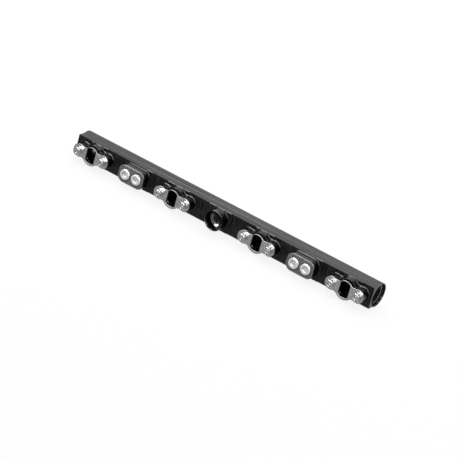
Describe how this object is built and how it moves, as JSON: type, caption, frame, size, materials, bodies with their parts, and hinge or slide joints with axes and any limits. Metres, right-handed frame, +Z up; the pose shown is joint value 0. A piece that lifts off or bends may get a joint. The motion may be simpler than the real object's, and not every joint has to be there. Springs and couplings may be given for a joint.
{
  "type": "fuel rail",
  "caption": "Straight machined fuel rail, round at the back and flat in front, with injector seats under bolted plates, bolted mounting blocks and threaded ports at the middle and both ends.",
  "frame": {"origin": "middle of the flat front face, where the centre port's axis crosses it", "axes": "+X along the rail, -Y out of the injector side, +Z up, across the rail"},
  "size_m": [0.314, 0.0355, 0.0218],
  "materials": {
    "anodised_body": "black anodised, satin, machined",
    "mounting_block": "black anodised, satin",
    "retaining_plate": "bare, fine brushed",
    "plate_screw": "bright zinc or stainless",
    "block_screw": "bright stainless"
  },
  "bodies": {
    "root": {"rail_body": "anodised_body", "retaining_plate_1": "retaining_plate", "plate_screw_1_left": "plate_screw", "plate_screw_1_right": "plate_screw", "retaining_plate_2": "retaining_plate", "plate_screw_2_left": "plate_screw", "plate_screw_2_right": "plate_screw", "retaining_plate_3": "retaining_plate", "plate_screw_3_left": "plate_screw", "plate_screw_3_right": "plate_screw", "retaining_plate_4": "retaining_plate", "plate_screw_4_left": "plate_screw", "plate_screw_4_right": "plate_screw", "mounting_block_1": "mounting_block", "block_screw_1_left": "block_screw", "block_screw_1_right": "block_screw", "mounting_block_2": "mounting_block", "block_screw_2_left": "block_screw", "block_screw_2_right": "block_screw"}
  },
  "joints": []
}
